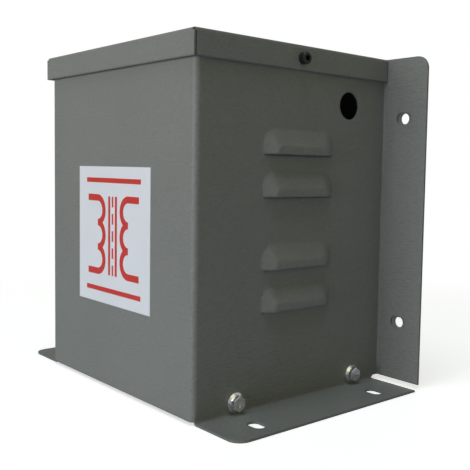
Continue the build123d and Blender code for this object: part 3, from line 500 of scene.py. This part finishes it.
def bar_outline(width, height):
    """A rectangle about its centre."""
    x, z = width / 2, height / 2
    return [(-x, -z), (x, -z), (x, z), (-x, z)]


def inked(face, outline, place, mirror=(1, 1)):
    """A closed sheet of ink in front of the label's face."""
    points = [(place[0] + mirror[0] * x, place[1] + mirror[1] * z) for x, z in outline]
    if mirror[0] * mirror[1] < 0:
        points.reverse()
    count = len(points)
    front = [(x, face - PRINT_SHEET, z) for x, z in points]
    back = [(x, face, z) for x, z in points]
    sides = [(n, n + count, (n + 1) % count + count, (n + 1) % count) for n in range(count)]
    faces = [tuple(range(count)), tuple(range(2 * count - 1, count - 1, -1))] + sides
    mesh = bpy.data.meshes.new("ink_shape")
    mesh.from_pydata(front + back, [], faces)
    shape = bmesh.new()
    shape.from_mesh(mesh)
    bmesh.ops.recalc_face_normals(shape, faces=shape.faces)
    shape.to_mesh(mesh)
    shape.free()
    return mesh


def row_group():
    """Geometry nodes that repeat a shape along a line."""
    group = bpy.data.node_groups.new("row_of_copies", "GeometryNodeTree")
    sockets = group.interface
    sockets.new_socket("Shape", in_out="INPUT", socket_type="NodeSocketGeometry")
    sockets.new_socket("Count", in_out="INPUT", socket_type="NodeSocketInt")
    sockets.new_socket("Step", in_out="INPUT", socket_type="NodeSocketVector")
    sockets.new_socket("Ink", in_out="INPUT", socket_type="NodeSocketMaterial")
    sockets.new_socket("Row", in_out="OUTPUT", socket_type="NodeSocketGeometry")
    nodes, links = group.nodes, group.links
    given = nodes.new("NodeGroupInput")
    line = nodes.new("GeometryNodeMeshLine")
    copies = nodes.new("GeometryNodeInstanceOnPoints")
    real = nodes.new("GeometryNodeRealizeInstances")
    paint = nodes.new("GeometryNodeSetMaterial")
    result = nodes.new("NodeGroupOutput")
    links.new(given.outputs["Count"], line.inputs["Count"])
    links.new(given.outputs["Step"], line.inputs["Offset"])
    links.new(line.outputs["Mesh"], copies.inputs["Points"])
    links.new(given.outputs["Shape"], copies.inputs["Instance"])
    links.new(copies.outputs["Instances"], real.inputs["Geometry"])
    links.new(real.outputs["Geometry"], paint.inputs["Geometry"])
    links.new(given.outputs["Ink"], paint.inputs["Material"])
    links.new(paint.outputs["Geometry"], result.inputs["Row"])
    return group


def row_of(group, shape, count, step, ink):
    """A plain mesh of a shape repeated along the label's height."""
    carrier = bpy.data.objects.new("ink_row", shape)
    bpy.context.collection.objects.link(carrier)
    modifier = carrier.modifiers.new("row", "NODES")
    modifier.node_group = group
    sockets = group.interface.items_tree
    inputs = {item.name: item.identifier for item in sockets if item.in_out == "INPUT"}
    modifier[inputs["Count"]] = count
    modifier[inputs["Step"]] = (0, 0, step)
    modifier[inputs["Ink"]] = ink
    graph = bpy.context.evaluated_depsgraph_get()
    mesh = bpy.data.meshes.new_from_object(carrier.evaluated_get(graph))
    carrier.modifiers.remove(modifier)
    bpy.data.objects.remove(carrier)
    return mesh


def label_print():
    """The circuit symbol of a screened transformer, between two rules."""
    low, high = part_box("front_label")
    face = low[1]
    x = (low[0] + high[0]) / 2
    z = (low[2] + high[2]) / 2
    ink = print_ink()
    group = row_group()
    first = (COIL_TURNS - 1) * COIL_RADIUS
    shapes = []
    for side in (-1, 1):
        base = x + side * COIL_BASE
        turn = inked(face, turn_outline(), (base, z - first), (-side, 1))
        shapes.append(row_of(group, turn, COIL_TURNS, 2 * COIL_RADIUS, ink))
        for end in (-1, 1):
            shapes.append(inked(face, lead_outline(), (base, z + end * first), (-side, end)))
        shapes.append(inked(face, bar_outline(*CORE_BAR), (x + side * CORE_BAR_PLACE, z)))
        shapes.append(inked(face, bar_outline(*RULE), (x, z + side * RULE_PLACE)))
    start = z - (SCREEN_DASHES - 1) * SCREEN_PITCH / 2
    dash = inked(face, bar_outline(*SCREEN_DASH), (x, start))
    shapes.append(row_of(group, dash, SCREEN_DASHES, SCREEN_PITCH, ink))
    joined = bmesh.new()
    for shape in shapes:
        joined.from_mesh(shape)
        bpy.data.meshes.remove(shape)
    mesh = bpy.data.meshes.new("label_print")
    joined.to_mesh(mesh)
    joined.free()
    mesh.materials.clear()
    mesh.materials.append(ink)
    piece = bpy.data.objects.new("label_print", mesh)
    bpy.context.collection.objects.link(piece)
    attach(piece, "root")


bpy.context.scene.view_settings.view_transform = "Standard"
studio_camera()
studio_world()
studio_light()
stage_floor()
dress_nodes()
label_print()
